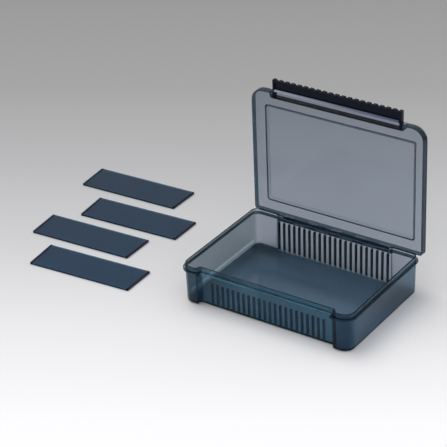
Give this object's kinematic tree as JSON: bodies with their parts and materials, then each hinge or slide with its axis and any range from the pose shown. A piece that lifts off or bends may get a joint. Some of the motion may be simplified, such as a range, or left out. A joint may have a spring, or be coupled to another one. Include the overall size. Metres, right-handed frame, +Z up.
{
  "type": "lure box",
  "caption": "Flat hinged tackle box with ribbed long walls for loose dividers, a raised-panel lid and a snap latch along its front edge.",
  "frame": {"origin": "middle of the tub's flat underside", "axes": "+X along the box to the right, +Y to the hinge side, +Z up"},
  "size_m": [0.451, 0.2189, 0.198],
  "materials": {
    "smoke_plastic": "clear smoke-tinted moulded plastic, glossy",
    "latch_plastic": "black moulded plastic, satin gloss",
    "divider_plastic": "dark smoke moulded plastic, satin",
    "steel": "dull drawn steel wire"
  },
  "bodies": {
    "tub": {"tub": "smoke_plastic", "hinge_pin": "steel"},
    "lid": {"lid": "smoke_plastic", "latch_pin_left": "steel", "latch_pin_right": "steel"},
    "latch": {"latch": "latch_plastic"},
    "divider_1": {"divider_1": "divider_plastic"},
    "divider_2": {"divider_2": "divider_plastic"},
    "divider_3": {"divider_3": "divider_plastic"},
    "divider_4": {"divider_4": "divider_plastic"}
  },
  "joints": [
    {"name": "lid_hinge", "type": "hinge", "parent": "tub", "child": "lid", "pos_m": [0, 0.0727, 0.03895], "axis": [1, 0, 0], "range_deg": [0, 90]},
    {"name": "latch_hinge", "type": "hinge", "parent": "lid", "child": "latch", "pos_m": [0, 0.07505, 0.18095], "axis": [1, 0, 0], "range_deg": [0, 90]},
    {"name": "divider_1_lift", "type": "slide", "parent": "tub", "child": "divider_1", "axis": [0, 0, 1], "range_m": [0, 0.12]},
    {"name": "divider_2_lift", "type": "slide", "parent": "tub", "child": "divider_2", "axis": [0, 0, 1], "range_m": [0, 0.12]},
    {"name": "divider_3_lift", "type": "slide", "parent": "tub", "child": "divider_3", "axis": [0, 0, 1], "range_m": [0, 0.12]},
    {"name": "divider_4_lift", "type": "slide", "parent": "tub", "child": "divider_4", "axis": [0, 0, 1], "range_m": [0, 0.12]}
  ]
}
